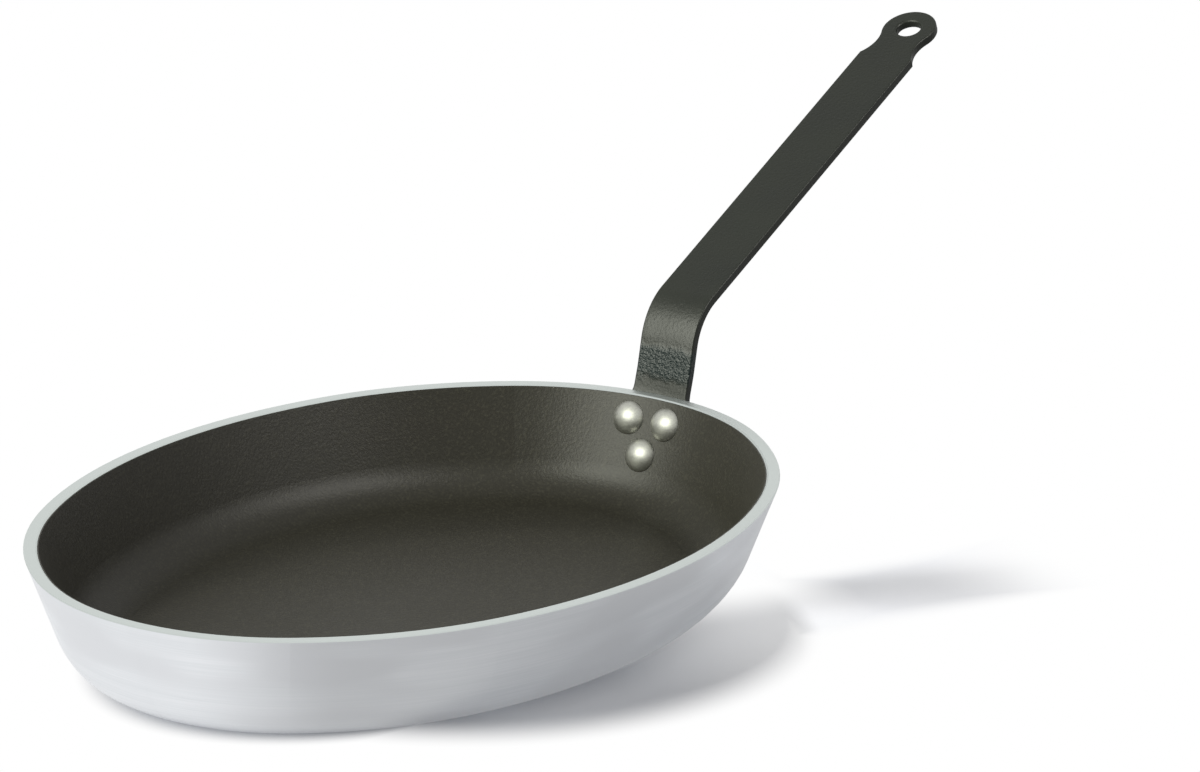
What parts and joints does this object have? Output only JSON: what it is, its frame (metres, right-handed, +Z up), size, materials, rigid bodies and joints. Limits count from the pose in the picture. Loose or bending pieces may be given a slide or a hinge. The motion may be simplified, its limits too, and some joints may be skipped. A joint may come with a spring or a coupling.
{
  "type": "omelette pan",
  "caption": "Oval pressed aluminium omelette pan with a non-stick lining and a riveted strip-steel handle that climbs to a hanging eyelet.",
  "frame": {"origin": "centre of the base's underside, midway along and across the oval", "axes": "+X along the oval towards the handle, +Z up from the base to the rim"},
  "size_m": [0.5647, 0.2604, 0.1699],
  "materials": {
    "pan_aluminium": "satin, turned and brushed",
    "nonstick": "matt, finely grained",
    "handle_coat": "satin black epoxy on strip steel",
    "rivet_metal": "satin"
  },
  "bodies": {
    "root": {"pan_body": "pan_aluminium", "nonstick_coating": "nonstick", "handle": "handle_coat", "rivet_upper_left": "rivet_metal", "rivet_upper_right": "rivet_metal", "rivet_lower": "rivet_metal"}
  },
  "joints": []
}
